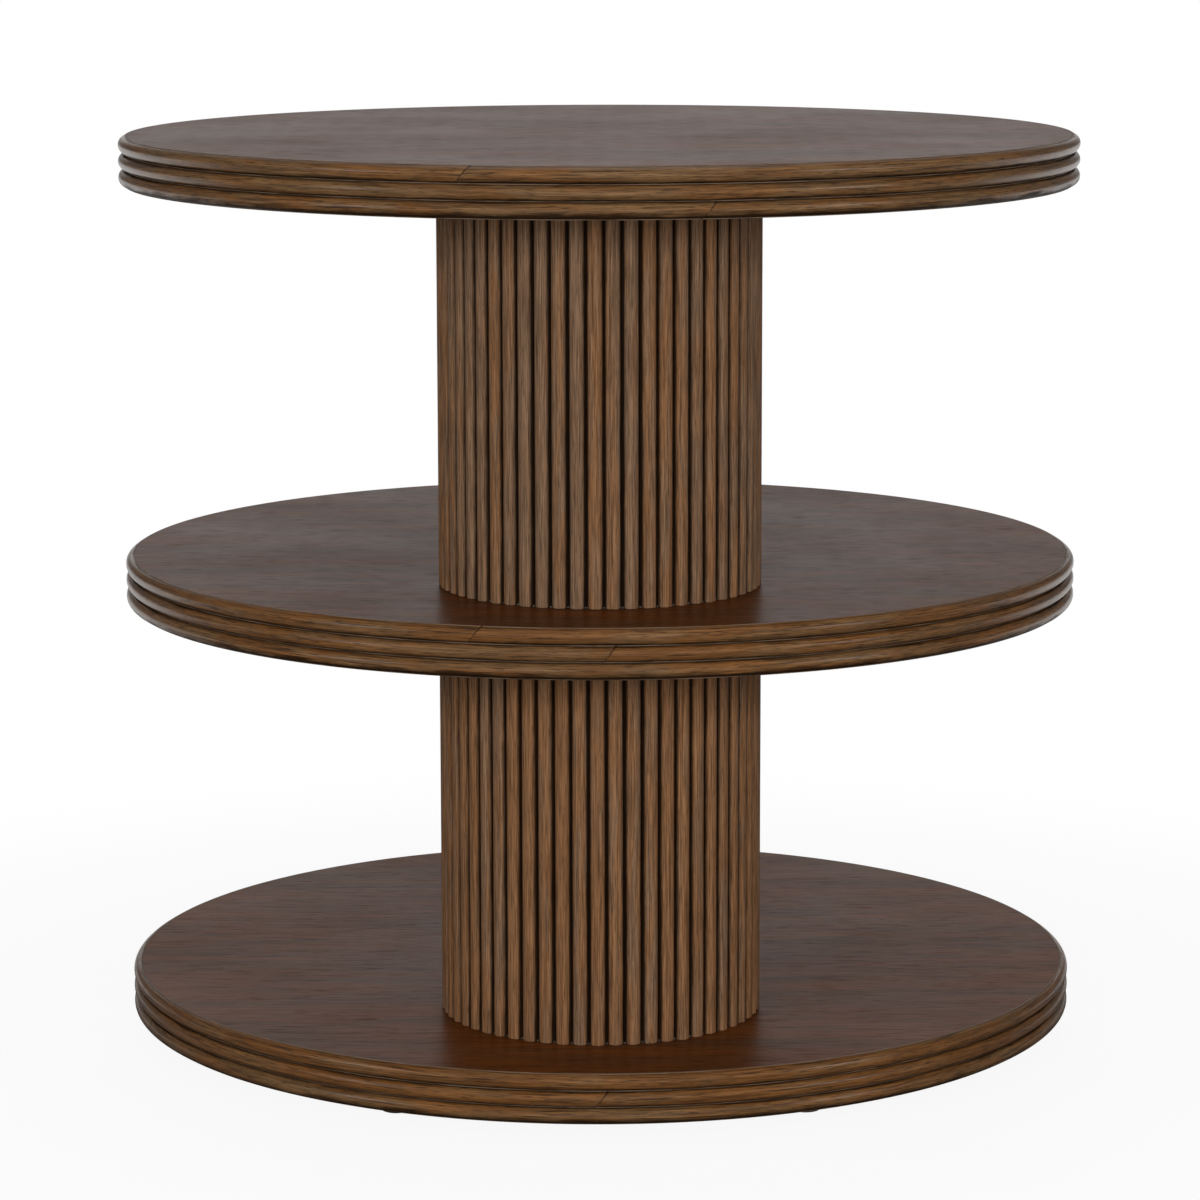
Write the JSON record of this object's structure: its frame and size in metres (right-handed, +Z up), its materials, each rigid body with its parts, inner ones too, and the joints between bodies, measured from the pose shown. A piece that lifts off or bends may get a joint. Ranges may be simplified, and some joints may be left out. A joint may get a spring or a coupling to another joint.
{
  "type": "tiered side table",
  "caption": "Round side table with stacked shelves: bead-edged veneered discs on reeded drum columns that stand forward of their centre.",
  "frame": {"origin": "On the floor, under the middle of the round tiers, at the foot of the leveller pads with every leveller wound in.", "axes": "+Z is up, along the tie rod, -Y is the front, towards which the columns are set, +X is the viewer's right."},
  "size_m": [0.71, 0.71, 0.676],
  "materials": {
    "tabletop_veneer": "dark brown stained straight-grained veneer under a satin lacquer",
    "edge_bead_wood": "warm brown bent solid wood, dark glaze left in the grooves, satin lacquer",
    "reed_wood": "brown half-round reeds of mixed tone, dark glaze in the valleys, satin lacquer",
    "plain_ply": "unfinished plywood",
    "dowel_beech": "unfinished beech",
    "zinc_steel": "bright zinc plate",
    "glide_plastic": "matte black moulded plastic"
  },
  "bodies": {
    "table": {"top_board": "tabletop_veneer", "middle_board": "tabletop_veneer", "bottom_board": "tabletop_veneer", "top_upper_bead": "edge_bead_wood", "top_middle_bead": "edge_bead_wood", "top_lower_bead": "edge_bead_wood", "middle_upper_bead": "edge_bead_wood", "middle_middle_bead": "edge_bead_wood", "middle_lower_bead": "edge_bead_wood", "bottom_upper_bead": "edge_bead_wood", "bottom_middle_bead": "edge_bead_wood", "bottom_lower_bead": "edge_bead_wood", "upper_column_drum": "plain_ply", "upper_column_bottom_plate": "plain_ply", "upper_column_top_plate": "plain_ply", "upper_column_reeds": "reed_wood", "lower_column_drum": "plain_ply", "lower_column_bottom_plate": "plain_ply", "lower_column_top_plate": "plain_ply", "lower_column_reeds": "reed_wood", "twist_dowels": "dowel_beech", "tie_rod": "zinc_steel", "tie_rod_insert": "zinc_steel", "tie_rod_washer": "zinc_steel", "tie_rod_nut": "zinc_steel", "leveller_inserts": "zinc_steel"},
    "pad_1": {"leveller_1_pad": "glide_plastic"},
    "stud_1": {"leveller_1_stud": "zinc_steel"},
    "pad_2": {"leveller_2_pad": "glide_plastic"},
    "stud_2": {"leveller_2_stud": "zinc_steel"},
    "pad_3": {"leveller_3_pad": "glide_plastic"},
    "stud_3": {"leveller_3_stud": "zinc_steel"},
    "pad_4": {"leveller_4_pad": "glide_plastic"},
    "stud_4": {"leveller_4_stud": "zinc_steel"},
    "pad_5": {"leveller_5_pad": "glide_plastic"},
    "stud_5": {"leveller_5_stud": "zinc_steel"},
    "pad_6": {"leveller_6_pad": "glide_plastic"},
    "stud_6": {"leveller_6_stud": "zinc_steel"}
  },
  "joints": [
    {"name": "leveller_1_height", "type": "slide", "parent": "table", "child": "pad_1", "axis": [0, 0, -1], "range_m": [0, 0.01]},
    {"name": "leveller_1_turn", "type": "hinge", "parent": "pad_1", "child": "stud_1", "pos_m": [0.145, -0.25115, 0.0143], "axis": [0, 0, -1], "range_deg": [0, 2880]},
    {"name": "leveller_2_height", "type": "slide", "parent": "table", "child": "pad_2", "axis": [0, 0, -1], "range_m": [0, 0.01]},
    {"name": "leveller_2_turn", "type": "hinge", "parent": "pad_2", "child": "stud_2", "pos_m": [0.29, 0, 0.0143], "axis": [0, 0, -1], "range_deg": [0, 2880]},
    {"name": "leveller_3_height", "type": "slide", "parent": "table", "child": "pad_3", "axis": [0, 0, -1], "range_m": [0, 0.01]},
    {"name": "leveller_3_turn", "type": "hinge", "parent": "pad_3", "child": "stud_3", "pos_m": [0.145, 0.25115, 0.0143], "axis": [0, 0, -1], "range_deg": [0, 2880]},
    {"name": "leveller_4_height", "type": "slide", "parent": "table", "child": "pad_4", "axis": [0, 0, -1], "range_m": [0, 0.01]},
    {"name": "leveller_4_turn", "type": "hinge", "parent": "pad_4", "child": "stud_4", "pos_m": [-0.145, 0.25115, 0.0143], "axis": [0, 0, -1], "range_deg": [0, 2880]},
    {"name": "leveller_5_height", "type": "slide", "parent": "table", "child": "pad_5", "axis": [0, 0, -1], "range_m": [0, 0.01]},
    {"name": "leveller_5_turn", "type": "hinge", "parent": "pad_5", "child": "stud_5", "pos_m": [-0.29, 0, 0.0143], "axis": [0, 0, -1], "range_deg": [0, 2880]},
    {"name": "leveller_6_height", "type": "slide", "parent": "table", "child": "pad_6", "axis": [0, 0, -1], "range_m": [0, 0.01]},
    {"name": "leveller_6_turn", "type": "hinge", "parent": "pad_6", "child": "stud_6", "pos_m": [-0.145, -0.25115, 0.0143], "axis": [0, 0, -1], "range_deg": [0, 2880]}
  ],
  "couplings": [
    {"joint": "leveller_1_turn", "follows": "leveller_1_height", "rad_per_m": 5026.5},
    {"joint": "leveller_2_turn", "follows": "leveller_2_height", "rad_per_m": 5026.5},
    {"joint": "leveller_3_turn", "follows": "leveller_3_height", "rad_per_m": 5026.5},
    {"joint": "leveller_4_turn", "follows": "leveller_4_height", "rad_per_m": 5026.5},
    {"joint": "leveller_5_turn", "follows": "leveller_5_height", "rad_per_m": 5026.5},
    {"joint": "leveller_6_turn", "follows": "leveller_6_height", "rad_per_m": 5026.5}
  ]
}
